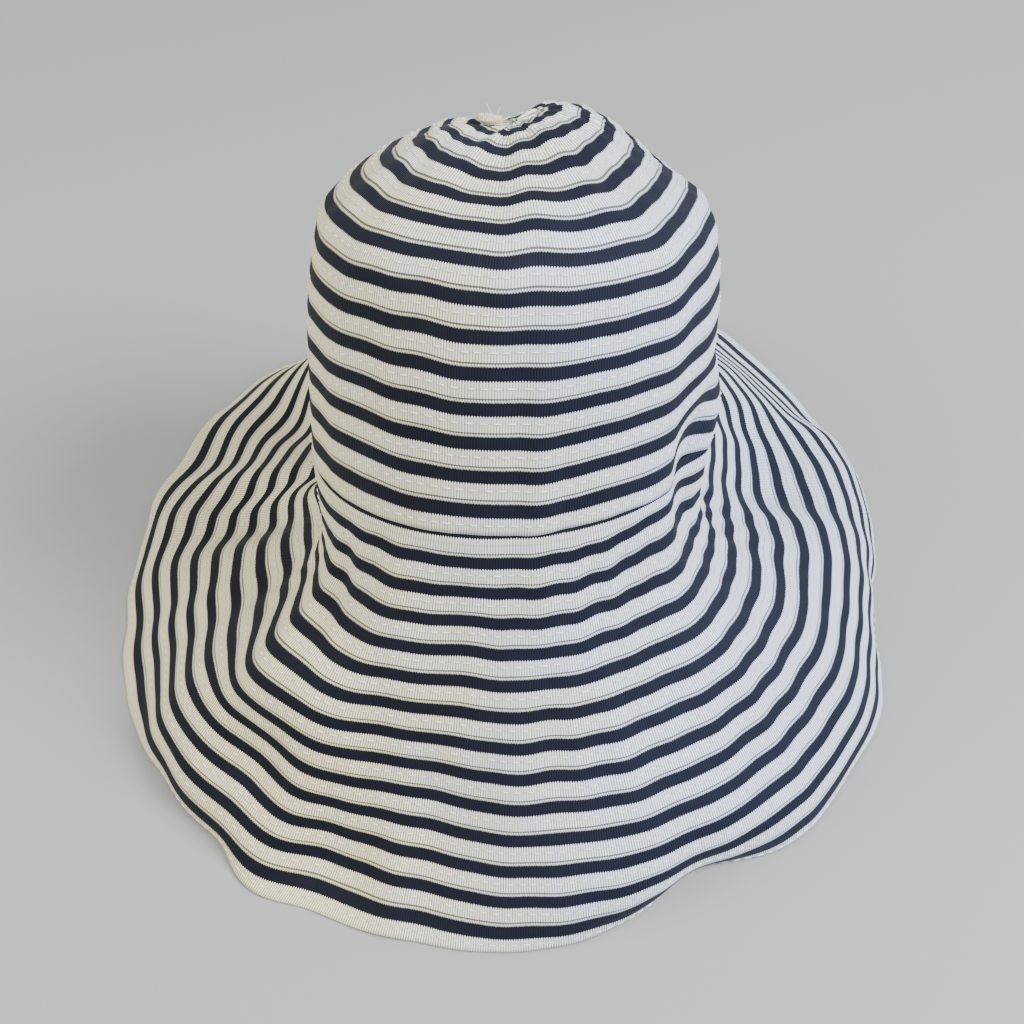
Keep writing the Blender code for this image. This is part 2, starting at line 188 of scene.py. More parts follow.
def turn_between(azimuth, other):
    """The signed angle from one azimuth to another, in radians, never more than half a turn."""
    return (azimuth - other + math.pi) % (2 * math.pi) - math.pi


def smooth_line(knots, values, at):
    """A cubic through the values at the knots, with the slope at each taken from its neighbours."""
    slopes = np.gradient(values, knots, axis=-1)
    at = np.clip(at, knots[0], knots[-1])
    left = np.clip(np.searchsorted(knots, at, side="right") - 1, 0, len(knots) - 2)
    span = knots[left + 1] - knots[left]
    t = (at - knots[left]) / span
    start = (1 + 2 * t) * (1 - t) ** 2 * values[..., left] + t * (1 - t) ** 2 * span * slopes[..., left]
    end = t**2 * (3 - 2 * t) * values[..., left + 1] + t**2 * (t - 1) * span * slopes[..., left + 1]
    return start + end


def smooth_ring(azimuths, values, at):
    """The same cubic, closed into a ring by repeating two rows at each end a full turn away."""
    wrapped = np.concatenate([azimuths[-2:] - 2 * math.pi, azimuths, azimuths[:2] + 2 * math.pi])
    rows = np.concatenate([values[-2:], values, values[:2]]).T
    first = azimuths[0]
    return smooth_line(wrapped, rows, (at - first) % (2 * math.pi) + first).T


# %% [markdown]
# ## The crown's surface
# The crown is a turned outline: radius and height as functions of the arc length up from the seam. Dents
# change the radius and lift the top, and then the whole crown leans back about the middle of its seam.

# %% Crown surface
def crown_outline():
    """Arc length, radius and height along the outline: the running sum of its fine steps."""
    radii = np.array([row["radius"] for row in CROWN_SECTIONS]) * CROWN_RADIUS
    heights = np.array([row["height"] for row in CROWN_SECTIONS]) * CROWN_HEIGHT
    knots = np.concatenate([[0], np.cumsum(np.hypot(np.diff(radii), np.diff(heights)))])
    fine = np.linspace(0, knots[-1], FINE_STEPS)
    radius = smooth_line(knots, radii, fine)
    height = smooth_line(knots, heights, fine)
    arc = np.concatenate([[0], np.cumsum(np.hypot(np.diff(radius), np.diff(height)))])
    return arc, radius, height


CROWN_ARC, ARC_RADIUS, ARC_HEIGHT = crown_outline()
CROWN_LENGTH = CROWN_ARC[-1]
CROWN_ROUNDS = CROWN_LENGTH / ROUND


def stand_crown(points):
    """Points of the upright crown, sheared by roll and drift, turned back by the lean and raised."""
    lean = math.radians(CROWN_LEAN)
    x, y, z = points[..., 0], points[..., 1], points[..., 2]
    level = 1 - z / CROWN_HEIGHT
    rolled = z + x * math.tan(math.radians(CROWN_ROLL)) * level
    drifted = x + z * math.tan(math.radians(CROWN_DRIFT))
    back = y * math.cos(lean) + rolled * math.sin(lean)
    up = rolled * math.cos(lean) - y * math.sin(lean) + SEAM_RISE * BRIM_SLANT
    return np.stack([drifted, back, up], axis=-1)


def crown_surface(azimuth, arc):
    """Radius (sin azimuth, -cos azimuth) and height at the arc, dented, and then stood at its lean."""
    azimuth, arc = np.broadcast_arrays(azimuth, arc)
    radius = np.interp(arc, CROWN_ARC, ARC_RADIUS)
    height = np.interp(arc, CROWN_ARC, ARC_HEIGHT)
    share = height / CROWN_HEIGHT
    for dent in WALL_DENTS:
        aside = turn_between(azimuth, math.radians(dent["azimuth"]))
        across = bump(aside, math.radians(dent["half_width"]))
        along = bump(share - dent["height"], dent["half_height"])
        radius = radius * (1 + dent["out"] * across * along)
    x = radius * np.sin(azimuth)
    y = -radius * np.cos(azimuth)
    for dent in TOP_DENTS:
        across = bump(x / CROWN_RADIUS - dent["right"], dent["half_across"])
        along = bump(y / CROWN_RADIUS - dent["back"], dent["half_along"])
        height = height + dent["lift"] * CROWN_RADIUS * across * along
    return stand_crown(np.stack([x, y, height], axis=-1))


print("rounds on the crown:", round(CROWN_ROUNDS, 2))

# %% [markdown]
# ## The brim's surface
# At each azimuth the brim is a line that leaves the crown's wall and falls to the floor. Its slope is
# read from the table, and one small turn is found for each line so that it ends at the hem's height.

# %% Brim surface
def seam_slope(azimuth, outward):
    """Slope of the crown's wall at the seam, in the upright plane of the azimuth."""
    aside = np.stack([np.cos(azimuth), np.sin(azimuth), np.zeros_like(azimuth)], axis=-1)
    step = 0.0018
    turn = step / CROWN_RADIUS
    along_ring = crown_surface(azimuth + turn, 0.0) - crown_surface(azimuth - turn, 0.0)
    falling = crown_surface(azimuth, 0.0) - crown_surface(azimuth, step)
    slip = (falling * aside).sum(axis=-1) / (along_ring * aside).sum(axis=-1)
    falling = falling - slip[:, None] * along_ring
    return np.arctan2(-falling[:, 2], (falling * outward).sum(axis=-1))


def brim_slopes(azimuth, first_slope):
    """The table's slopes at every fine step of the slant, with the wall's own slope at the root."""
    azimuths = np.radians([row["azimuth"] for row in BRIM_SECTIONS])
    table = np.radians([[row[name] for name in STATIONS] for row in BRIM_SECTIONS])
    slopes = np.column_stack([first_slope, smooth_ring(azimuths, table, azimuth)])
    knots = np.array([0.0, *STATIONS.values()])
    middles = (np.arange(FINE_STEPS) + 0.5) / FINE_STEPS
    return smooth_line(knots, slopes, middles)


def hem_height(azimuth):
    """The sum of the lifted stretches, less the press that flattens the rest on the floor."""
    lift = np.zeros_like(azimuth)
    for row in HEM_LIFTS:
        aside = turn_between(azimuth, math.radians(row["azimuth"]))
        lift = lift + row["height"] * BRIM_SLANT * bump(aside, math.radians(row["half_width"]))
    return lift - HEM_PRESS


def drop_to_floor(slopes, drop):
    """Newton steps on one angle a row: the sum of sines times the step has to equal the drop."""
    step = BRIM_SLANT / FINE_STEPS
    share = ease_in((np.arange(FINE_STEPS) + 0.5) / FINE_STEPS / ROOT_SHARE)
    give = np.zeros(len(slopes))
    for _ in range(DROP_ROUNDS):
        turned = slopes + give[:, None] * share
        fall = np.sin(turned).sum(axis=1) * step
        gain = (np.cos(turned) * share).sum(axis=1) * step
        give = give - np.clip((fall - drop) / gain, -DROP_TURN, DROP_TURN)
    return slopes + give[:, None] * share


def read_between(table, place):
    """Each row of the table read at fractional places, on the straight line between two columns."""
    left = place.astype(int)
    between = place - left
    lower = np.take_along_axis(table, left, 1)
    upper = np.take_along_axis(table, left + 1, 1)
    return lower * (1 - between) + upper * between


def brim_surface(azimuth, slant):
    """Seam point plus the sums of cosines outward and of sines down, a row of slants for each azimuth."""
    outward = np.stack([np.sin(azimuth), -np.cos(azimuth), np.zeros_like(azimuth)], axis=-1)
    seam = crown_surface(azimuth, 0.0)
    slopes_at_seam = seam_slope(azimuth, outward)
    slopes = drop_to_floor(brim_slopes(azimuth, slopes_at_seam), seam[:, 2] - hem_height(azimuth))
    step = BRIM_SLANT / FINE_STEPS
    reach = np.pad(np.cumsum(np.cos(slopes), axis=1) * step, ((0, 0), (1, 0)))
    fall = np.pad(np.cumsum(np.sin(slopes), axis=1) * step, ((0, 0), (1, 0)))
    place = np.clip(slant / step, 0, FINE_STEPS - 1e-6)
    above = np.minimum(slant, 0)
    past = np.maximum(slant - BRIM_SLANT, 0)
    out = read_between(reach, place) + above * np.cos(slopes[:, :1]) + past * np.cos(slopes[:, -1:])
    down = read_between(fall, place) + above * np.sin(slopes[:, :1]) + past * np.sin(slopes[:, -1:])
    share = slant / BRIM_SLANT
    for fold in BRIM_FOLDS:
        line = np.radians(fold["seam"] + (fold["hem"] - fold["seam"]) * share)
        aside = turn_between(azimuth[:, None], line)
        width = np.radians(np.where(aside < 0, fold["lower"], fold["higher"]))
        middle = (fold["starts"] + fold["ends"]) / 2
        along = bump(share - middle, (fold["ends"] - fold["starts"]) / 2) * ease_in(share / ROOT_SHARE)
        out = out + fold["out"] * BRIM_SLANT * bump(aside, width) * along
    points = seam[:, None, :] + out[..., None] * outward[:, None, :]
    points[..., 2] -= down
    return points


def middle_of_brim():
    """The point of the floor under the middle of the brim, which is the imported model's origin."""
    azimuth = np.linspace(-math.pi, math.pi, 96, endpoint=False)
    slant = np.broadcast_to(np.linspace(0.0003, BRIM_SLANT, 14), (96, 14))
    cloth = brim_surface(azimuth, slant)
    low, high = cloth.min(axis=(0, 1)), cloth.max(axis=(0, 1))
    return np.array([(low[0] + high[0]) / 2, (low[1] + high[1]) / 2, 0.0])


ORIGIN = middle_of_brim()
print("origin moved by", (ORIGIN * 1000).round(1), "mm")

# %% [markdown]
# ## How the rounds wander
# A sewn round never follows its ring exactly. Slow waves move each round up and down a little, the seam
# next to it follows, and a few slips push the rounds together where the cloth is pinched or creased.

# %% Waves and slips
# One seed for each thing that is uneven by chance
SEEDS = {
    "crown rounds": 11,
    "brim rounds": 12,
    "gathers": 21,
    "crown cloth": 22,
    "brim cloth": 23,
    "crown lip": 31,
    "brim lip": 32,
    "crown stitches": 41,
    "brim stitches": 42,
}


def ring_waves(azimuth, course, seed, fewest, most):
    """A sum of sines of whole numbers of waves round the hat, whose phases turn from round to round."""
    random = np.random.default_rng(seed)
    total = np.zeros(np.broadcast(azimuth, course).shape)
    power = 0.0
    for waves in range(fewest, most + 1):
        phase, turn = random.uniform(0, 2 * math.pi), random.uniform(-0.8, 0.8)
        size = 1 / waves**0.5
        total += size * np.sin(waves * azimuth + phase + turn * course)
        power += size**2 / 2
    return total / math.sqrt(power)


# Places where the rounds are pushed along the cloth, in degrees and in rounds
CROWN_SLIPS = [
    {"azimuth": 90, "half_width": 75, "course": 0.8, "half_courses": 2.0, "slip": 0.38},
    {"azimuth": -90, "half_width": 75, "course": 0.8, "half_courses": 2.0, "slip": 0.44},
    {"azimuth": -15, "half_width": 70, "course": 3.2, "half_courses": 2.0, "slip": 0.10},
    {"azimuth": -42, "half_width": 62, "course": 9.6, "half_courses": 6.0, "slip": -0.24},
    {"azimuth": 30, "half_width": 45, "course": 10.5, "half_courses": 5.0, "slip": -0.12},
    {"azimuth": 76, "half_width": 40, "course": 7.4, "half_courses": 6.0, "slip": -0.55},
    {"azimuth": 64, "half_width": 14, "course": 12.6, "half_courses": 2.6, "slip": -0.45},
]
BRIM_SLIPS = [
    {"azimuth": 50, "half_width": 30, "course": 1.2, "half_courses": 1.9, "slip": -0.30},
    {"azimuth": -66, "half_width": 34, "course": 5.4, "half_courses": 3.4, "slip": -0.28},
    {"azimuth": -68, "half_width": 32, "course": 11.0, "half_courses": 4.0, "slip": -0.20},
    {"azimuth": 75, "half_width": 18, "course": 10.8, "half_courses": 4.5, "slip": 0.22},
    {"azimuth": 108, "half_width": 24, "course": 7.0, "half_courses": 4.5, "slip": -0.26},
]


# Cloth lower than the first height is squeezed up a little, so that the hem's wall lies on the floor
HEM_SOFT = 0.006
HEM_REST = 0.00135
HEM_SQUEEZE = (HEM_SOFT - HEM_REST) / (HEM_SOFT + HEM_PRESS)


def patch_share(row, azimuth, course):
    """The product of two bumps, one across the azimuths of the row and one along its rounds."""
    aside = turn_between(azimuth, math.radians(row["azimuth"]))
    across = bump(aside, math.radians(row["half_width"]))
    return across * bump(course - row["course"], row["half_courses"])


def slips(table, azimuth, course):
    """The sum of the table's patches, each times the slip of its row."""
    total = np.zeros(np.broadcast(azimuth, course).shape)
    for row in table:
        total = total + row["slip"] * patch_share(row, azimuth, course)
    return total


# How far the rounds wander, as a share of a round, and the fewest and most waves that they have
WANDER = 0.024
CROWN_WAVES = (3, 24)
BRIM_WAVES = (5, 44)

# The first round is wound about a point beside the middle of the crown, and the shift fades by this round
TIP_SHIFT = (-0.0015, 0.0070)
TIP_REACH = 5.5


def shift_tip(azimuth, course):
    """Plan of the tip: the point at this turn and distance, plus the fading shift, as turn and distance."""
    fade = bump(course, TIP_REACH)
    x = course * ROUND * np.sin(azimuth) + TIP_SHIFT[0] * fade
    y = -course * ROUND * np.cos(azimuth) + TIP_SHIFT[1] * fade
    return np.arctan2(x, -y), np.hypot(x, y) / ROUND


def crown_point(azimuth, course):
    """Crown surface at a course counted down from the tip, moved by its slips and its waves."""
    still = ease_in(course) * ease_in((CROWN_ROUNDS - course) / 0.8)
    wander = WANDER * ring_waves(azimuth, course, SEEDS["crown rounds"], *CROWN_WAVES) * still
    moved = course + slips(CROWN_SLIPS, azimuth, course) * ease_in(course / 0.6) + wander
    turn, moved = shift_tip(azimuth, moved)
    return crown_surface(turn, CROWN_LENGTH - moved * ROUND) - ORIGIN


def brim_point(azimuth, course):
    """Brim surface at a course counted down from the seam, moved by its slips and its waves."""
    still = ease_in(course / 0.8) * ease_in((BRIM_ROUNDS - course) / 0.5)
    wander = WANDER * ring_waves(azimuth, course, SEEDS["brim rounds"], *BRIM_WAVES) * still
    held = ease_in(course / 0.6) * ease_in((BRIM_ROUNDS - course) / 1.2)
    moved = course + slips(BRIM_SLIPS, azimuth, course) * held + wander
    points = brim_surface(azimuth[:, 0], moved * ROUND) - ORIGIN
    height = points[..., 2]
    points[..., 2] = np.where(height < HEM_SOFT, HEM_REST + (height + HEM_PRESS) * HEM_SQUEEZE, height)
    return points


def outward_normal(point, azimuth, course):
    """The cross product of the step down the cloth and the step round it, made one long."""
    turn, fall = 0.004, 0.04
    round_step = point(azimuth + turn, course) - point(azimuth - turn, course)
    down_step = point(azimuth, course + fall) - point(azimuth, course - fall)
    normal = np.cross(down_step, round_step)
    return normal / np.linalg.norm(normal, axis=-1, keepdims=True)


# %% [markdown]
# ## Shingled rounds
# Each round starts level with the cloth, just under the edge of the one above, and rises towards its own
# lower edge, where it ends in a thin lip. So the profile across the rounds is a saw, with a small step at
# every lip. Only a few rows of points are needed for each round, two of them close together at the lip.

# %% Rows of points across the rounds
LIP = 0.00036
LIP_UNEVEN = 0.16
TUCK_UNDER = 0.008
ROW_SHARES = np.array([0.0, 0.10, 0.32, 0.60, 0.86, 1.0])
FIRST_ROUND_ROWS = 5
LIP_WAVES = (9, 70)


def saw_rows(edges, first_share):
    """Course, share of the round and round number of every row, between one edge and the next."""
    rows = []
    for number, (top, bottom) in enumerate(zip(edges[:-1], edges[1:])):
        start = first_share if number == 0 else 0.0
        shares = ROW_SHARES if start == 0 else np.linspace(start, 1, FIRST_ROUND_ROWS)
        for share in shares:
            place = top + (bottom - top) * (share - start) / (1 - start)
            if share == 0:
                place -= TUCK_UNDER
            rows.append((place, share, number))
    return np.array(rows).T


def saw_relief(share, azimuth, course, seed):
    """The lip's height times the share of the round, with a lip that is a little uneven."""
    uneven = 1 + LIP_UNEVEN * ring_waves(azimuth, course, seed, *LIP_WAVES)
    return LIP * np.clip(share, 0, 1) * np.clip(uneven, 0.4, 1.6)


# Where the first round ends and the share of it that is seen first, for the crown and for the brim
CROWN_FIRST_EDGE = 0.44
CROWN_FIRST_SHARE = 0.56
BRIM_FIRST_EDGE = 0.555
BRIM_FIRST_SHARE = 0.245
UNDER_SEAM = -0.20

# Edges of the rounds, counted in rounds from the tip on the crown and from the seam on the brim
CROWN_EDGES = np.array([0.0, *(np.arange(13) + CROWN_FIRST_EDGE), CROWN_ROUNDS])
BRIM_EDGES = np.array([UNDER_SEAM, *(np.arange(13) + BRIM_FIRST_EDGE), BRIM_ROUNDS])
crown_rows = saw_rows(CROWN_EDGES, CROWN_FIRST_SHARE)
brim_rows = saw_rows(BRIM_EDGES, BRIM_FIRST_SHARE)
print("rows of points:", crown_rows.shape[1], "on the crown and", brim_rows.shape[1], "on the brim")

# %% [markdown]
# ## Ribs run across the ribbon
# Grosgrain has fine ribs across its width, about a millimetre apart all along it. The map of each piece
# therefore counts ribs along the round and rounds down the hat, so that one material draws every rib at
# its real size, however long the round is.

# %% Count ribs along every round
RIB = 0.00115
COLUMNS = 576


def ribs_along(points, number, seed):
    """Running length of the middle row of each round in ribs, a whole number of ribs to the turn."""
    random = np.random.default_rng(seed)
    counts = np.zeros((points.shape[0] + 1, points.shape[1]))
    for k in np.unique(number):
        rows = np.flatnonzero(number == k)
        ring = points[:, rows[len(rows) // 2]]
        steps = np.linalg.norm(np.roll(ring, -1, axis=0) - ring, axis=1)
        length = np.concatenate([[0], np.cumsum(steps)])
        ribs = max(6, round(length[-1] / RIB))
        counts[:, rows] = (length / length[-1] * ribs + random.integers(0, 400))[:, None]
    return counts


def grid_faces(columns, rows):
    """Corners of the quads between a column and the next one round, and between a row and the next."""
    column, row = np.meshgrid(np.arange(columns), np.arange(rows - 1), indexing="ij")
    after = (column + 1) % columns
    here = column * rows + row
    there = after * rows + row
    return np.stack([here, here + 1, there + 1, there], -1).reshape(-1, 4)


def grid_map(counts, number, share):
    """For the four corners of each quad: ribs along the round, and round number plus share."""
    rows = np.arange(len(number) - 1)
    lip = number[1:] != number[:-1]
    top_v = number[:-1] + np.minimum(share[:-1], 0.9999)
    low_v = np.where(lip, number[:-1] + 0.99995, number[1:] + np.minimum(share[1:], 0.9999))
    u0 = counts[:-1][:, rows]
    u1 = counts[1:][:, rows]
    top = np.broadcast_to(top_v, u0.shape)
    low = np.broadcast_to(low_v, u0.shape)
    pairs = [(u0, top), (u0, low), (u1, low), (u1, top)]
    return np.stack([np.stack(pair, -1) for pair in pairs], 2).reshape(-1, 4, 2)


# %% Put arrays into a mesh
def add_piece(name, points, faces, face_map=None, sharp=None):
    """A mesh object at the origin from arrays of points and faces, with its map if one is given."""
    mesh = bpy.data.meshes.new(name)
    loops = np.concatenate([group.ravel() for group in faces]).astype(np.int32)
    sizes = np.concatenate([np.full(len(group), group.shape[1]) for group in faces])
    mesh.vertices.add(len(points))
    mesh.vertices.foreach_set("co", np.asarray(points, np.float32).ravel())
    mesh.loops.add(len(loops))
    mesh.loops.foreach_set("vertex_index", loops)
    mesh.polygons.add(len(sizes))
    mesh.polygons.foreach_set("loop_start", (np.cumsum(sizes) - sizes).astype(np.int32))
    mesh.update(calc_edges=True)
    if face_map is not None:
        layer = mesh.uv_layers.new(name="ribbon")
        layer.data.foreach_set("uv", np.concatenate([part.ravel() for part in face_map]).astype(np.float32))
    mesh.shade_smooth()
    if sharp is not None:
        mesh.set_sharp_from_angle(angle=math.radians(sharp))
    item = bpy.data.objects.new(name, mesh)
    bpy.context.scene.collection.objects.link(item)
    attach(item, "root")
    return item


def give_wall(item, thickness):
    """Thickness inwards from the face that was worked out."""
    wall = item.modifiers.new("wall", "SOLIDIFY")
    wall.thickness = thickness
    wall.offset = -1.0


# %% [markdown]
# ## The material of the ribbon
# The map's fraction of a round says where across the ribbon a point is: an ivory sliver, the navy band
# and the wide ivory band. The ribs push the two dye lines up and down, which gives their fine teeth, and
# they raise the surface. Their grooves are painted darker as painted shade, and the navy's crests lighter
# as a painted highlight. A painted shadow runs under each lip, and painted shade along each stitch line.
# The ivory is painted warmer on the hat's left and cooler on its right, and the navy darker on the left
# and lighter on the right, as painted light from the lamps, and slow noise breaks up the change.

# %% Helpers for node trees
def add_node(tree, kind, links=None, **settings):
    """A node of this kind, with its settings, and its inputs either linked or set."""
    node = tree.nodes.new(kind)
    for key, value in settings.items():
        setattr(node, key, value)
    for key, value in (links or {}).items():
        if isinstance(value, bpy.types.NodeSocket):
            tree.links.new(value, node.inputs[key])
        else:
            node.inputs[key].default_value = value
    return node


def math_node(tree, operation, first, second=0.0, third=0.0):
    """One operation on up to three values."""
    node = add_node(tree, "ShaderNodeMath", {0: first, 1: second, 2: third}, operation=operation)
    return node.outputs[0]


def ramp(tree, value, low, high, start=0.0, end=1.0):
    """The value between low and high, stretched smoothly to run from start to end."""
    node = add_node(
        tree,
        "ShaderNodeMapRange",
        {"Value": value, "From Min": low, "From Max": high, "To Min": start, "To Max": end},
        interpolation_type="SMOOTHSTEP",
    )
    return node.outputs[0]


def noise(tree, vector, scale, detail):
    """Soft noise from 0 to 1."""
    links = {"Vector": vector, "Scale": scale, "Detail": detail}
    return add_node(tree, "ShaderNodeTexNoise", links).outputs[0]


def mix_color(tree, factor, first, second, blend="MIX"):
    """Two colors mixed by the factor."""
    links = {0: factor, 6: first, 7: second}
    return add_node(tree, "ShaderNodeMix", links, data_type="RGBA", blend_type=blend).outputs[2]


def new_material(name, roughness, sheen, specular=0.35):
    """A material with its constants set on the shader."""
    material = bpy.data.materials.new(name)
    material.use_nodes = True
    shader = material.node_tree.nodes["Principled BSDF"]
    shader.inputs["Roughness"].default_value = roughness
    shader.inputs["Sheen Weight"].default_value = sheen
    shader.inputs["Sheen Roughness"].default_value = 0.45
    shader.inputs["Specular IOR Level"].default_value = specular
    return material, material.node_tree, shader


# %% Striped grosgrain
# Ivory under warm and under cool light, and navy on its shaded and its lit side: painted light, mixed from
# the hat's left to its right
IVORY_UNDER_WARM_LIGHT = (0.80, 0.750, 0.48, 1)
IVORY_UNDER_COOL_LIGHT = (0.70, 0.785, 0.99, 1)
NAVY_SHADED_SIDE = (0.0037, 0.0048, 0.0110, 1)
NAVY_LIT_SIDE = (0.0080, 0.0104, 0.0245, 1)
NAVY_TOP = 0.134
NAVY_BOTTOM = 0.550
STITCH_SHARE = 0.74

# How far the ribs and the fuzz push the dye lines, and where the painted shadow line under a lip fades
TEETH = 0.042
FUZZ = 0.030
LIP_SHADOW_LINE = (0.052, 0.084)


def rib_wave(tree, ribs):
    """The cosine of a whole turn for each rib."""
    return math_node(tree, "COSINE", math_node(tree, "MULTIPLY", ribs, 2 * math.pi))


def striped_ribbon():
    """Ribs from a cosine of the rib count, bands from the fraction of the round."""
    material, tree, shader = new_material("striped_grosgrain", 0.80, 0.03, 0.14)
    where = add_node(tree, "ShaderNodeUVMap", uv_map="ribbon").outputs[0]
    parts = add_node(tree, "ShaderNodeSeparateXYZ", {0: where})
    ribs, rounds = parts.outputs[0], parts.outputs[1]
    place = add_node(tree, "ShaderNodeTexCoord").outputs["Object"]
    share = math_node(tree, "FRACT", rounds)
    crest = math_node(tree, "MULTIPLY_ADD", rib_wave(tree, ribs), 0.5, 0.5)
    grain = noise(tree, place, 900.0, 2.0)
    patch = noise(tree, place, 26.0, 3.0)

    teeth = math_node(tree, "MULTIPLY_ADD", crest, TEETH, share)
    fuzz = math_node(tree, "MULTIPLY_ADD", grain, FUZZ, teeth)
    lower = math_node(tree, "SUBTRACT", fuzz, (TEETH + FUZZ) / 2)
    start = ramp(tree, fuzz, NAVY_TOP + 0.015, NAVY_TOP + 0.045)
    finish = ramp(tree, lower, NAVY_BOTTOM - 0.025, NAVY_BOTTOM + 0.005, 1.0, 0.0)
    navy = math_node(tree, "MULTIPLY", start, finish)

    # Painted light: warm ivory and shaded navy on the hat's left, cool ivory and lit navy on its right,
    # broken up by slow noise
    across = add_node(tree, "ShaderNodeSeparateXYZ", {0: place}).outputs[0]
    side = ramp(tree, math_node(tree, "MULTIPLY_ADD", patch, 0.16, across), -0.03, 0.20)
    ivory = mix_color(tree, side, IVORY_UNDER_WARM_LIGHT, IVORY_UNDER_COOL_LIGHT)
    dark = mix_color(tree, side, NAVY_SHADED_SIDE, NAVY_LIT_SIDE)
    # Painted shade in the ivory's rib grooves
    painted_groove_shade = ramp(tree, crest, 0.0, 0.65, 0.34, 1.0)
    ivory = mix_color(tree, 1.0, ivory, painted_groove_shade, "MULTIPLY")
    # Painted shade in the navy's rib grooves and a painted highlight on its rib crests
    rib_shade_and_highlight = ramp(tree, crest, 0.0, 0.8, 0.55, 1.15)
    dark = mix_color(tree, 1.0, dark, rib_shade_and_highlight, "MULTIPLY")
    color = mix_color(tree, navy, ivory, dark)
    # Painted shadow: a dark line at the top of each round, just under the lip of the round above
    lip_shadow = ramp(tree, share, *LIP_SHADOW_LINE, 0.24, 1.0)
    color = mix_color(tree, 1.0, color, lip_shadow, "MULTIPLY")
    # Painted shade along the stitch line, around the thread
    seam = math_node(tree, "ABSOLUTE", math_node(tree, "SUBTRACT", share, STITCH_SHARE))
    stitch_line_shade = ramp(tree, seam, 0.0, 0.035, 0.80, 1.0)
    color = mix_color(tree, 1.0, color, stitch_line_shade, "MULTIPLY")
    tree.links.new(color, shader.inputs["Base Color"])

    rough = math_node(tree, "MULTIPLY_ADD", navy, -0.10, 0.74)
    tree.links.new(math_node(tree, "MULTIPLY_ADD", grain, 0.10, rough), shader.inputs["Roughness"])
    height = math_node(tree, "MULTIPLY_ADD", crest, 0.14, math_node(tree, "MULTIPLY", grain, 0.030))
    relief = add_node(tree, "ShaderNodeBump", {"Height": height, "Distance": 0.001, "Strength": 1.0})
    tree.links.new(relief.outputs[0], shader.inputs["Normal"])
    return material


ribbon = striped_ribbon()

# %% [markdown]
# ## Sew the crown and the brim
# Both pieces are the same recipe: a grid of azimuths and rows, pushed out along the cloth's normal by the
# saw, with gathers where the rounds are short. Known fault: all azimuths meet at the crown's tip, so the
# normal there is zero over zero. The first row and the middle of its fan have no place, and the tip stays
# open in the picture.

# %% Relief of the cloth
GATHER_DEPTH = 0.00028
GATHER_WAVES = (5, 16)
CROWN_UNEVEN = 0.00035
CROWN_UNEVEN_WAVES = (5, 22)
BRIM_UNEVEN = 0.00045
BRIM_UNEVEN_WAVES = (9, 44)
ROOT_TUCK = 0.0013

# The pleated pucker at the right of the tip and the short crease in front of it
PUCKER = {"azimuth": 78, "half_width": 16, "course": 2.35, "half_courses": 0.55, "out": 0.0011}
CREASE = {"azimuth": -8, "half_width": 9, "course": 1.70, "half_courses": 1.30, "out": -0.0008}
PUCKER_PLEATS = 46


def gathers(azimuth, course):
    """Waves round the tip that grow from it and fade again down the crown."""
    strength = GATHER_DEPTH * bump(course - 1.0, 4.5)
    waves = ring_waves(azimuth, course * 0.6, SEEDS["gathers"], *GATHER_WAVES)
    return strength * waves * ease_in(course / 1.2)


def crown_relief(azimuth, course):
    """The sum of the pucker, the crease, the gathers and a slow unevenness."""
    pleats = 0.6 + np.sin(PUCKER_PLEATS * azimuth)
    pucker = PUCKER["out"] * patch_share(PUCKER, azimuth, course) * pleats
    crease = CREASE["out"] * patch_share(CREASE, azimuth, course)
    uneven = CROWN_UNEVEN * ring_waves(azimuth, course, SEEDS["crown cloth"], *CROWN_UNEVEN_WAVES)
    return pucker + crease + gathers(azimuth, course) + uneven


def brim_relief(azimuth, course):
    """Slow unevenness that grows from the seam, and a root that stays under the crown's edge."""
    root = -ROOT_TUCK * ease_in((0.10 - course) / 0.30)
    uneven = BRIM_UNEVEN * ring_waves(azimuth, course, SEEDS["brim cloth"], *BRIM_UNEVEN_WAVES)
    return root + uneven * ease_in(course / 2)


# %% Build the two main pieces
RIBBON_WALL = 0.0011
CRISP_EDGE = 50


def sewn_piece(point, rows, relief_more, seed):
    """Grid of points moved outward by the saw and by the piece's own relief, with its lines for stitches."""
    azimuth = np.linspace(-math.pi, math.pi, COLUMNS, endpoint=False)[:, None]
    course, share, number = rows
    base = point(azimuth, course[None, :])
    normal = outward_normal(point, azimuth, course[None, :])
    saw = saw_relief(share[None, :], azimuth, number[None, :], seed)
    relief = saw + relief_more(azimuth, course[None, :])
    points = base + normal * relief[..., None]
    counts = ribs_along(base, number, seed)
    above = np.flatnonzero(share == ROW_SHARES[3])
    below = np.flatnonzero(share == ROW_SHARES[4])
    above = above[-len(below):]
    weight = (STITCH_SHARE - ROW_SHARES[3]) / (ROW_SHARES[4] - ROW_SHARES[3])
    line = points[:, above] * (1 - weight) + points[:, below] * weight
    return points, counts, number, share, line, normal[:, below]


made = sewn_piece(crown_point, crown_rows, crown_relief, SEEDS["crown lip"])
crown_points, crown_counts, number, share, crown_line, crown_out = made
columns, rows = crown_points.shape[:2]
tip = crown_points[:, 0].mean(axis=0)
with_tip = np.vstack([crown_points.reshape(-1, 3), tip])
ring = np.arange(columns) * rows
fan = np.stack([np.full(columns, len(with_tip) - 1), ring, np.roll(ring, -1)], -1)
fan_u = np.stack([crown_counts[:-1, 0], crown_counts[:-1, 0], crown_counts[1:, 0]], -1)
fan_map = np.stack([fan_u, np.full_like(fan_u, share[0])], -1)
crown_faces = [grid_faces(columns, rows), fan]
crown_map = [grid_map(crown_counts, number, share), fan_map]
crown_piece = add_piece("crown_ribbon", with_tip, crown_faces, crown_map, sharp=CRISP_EDGE)
give_wall(crown_piece, RIBBON_WALL)
crown_piece.data.materials.append(ribbon)
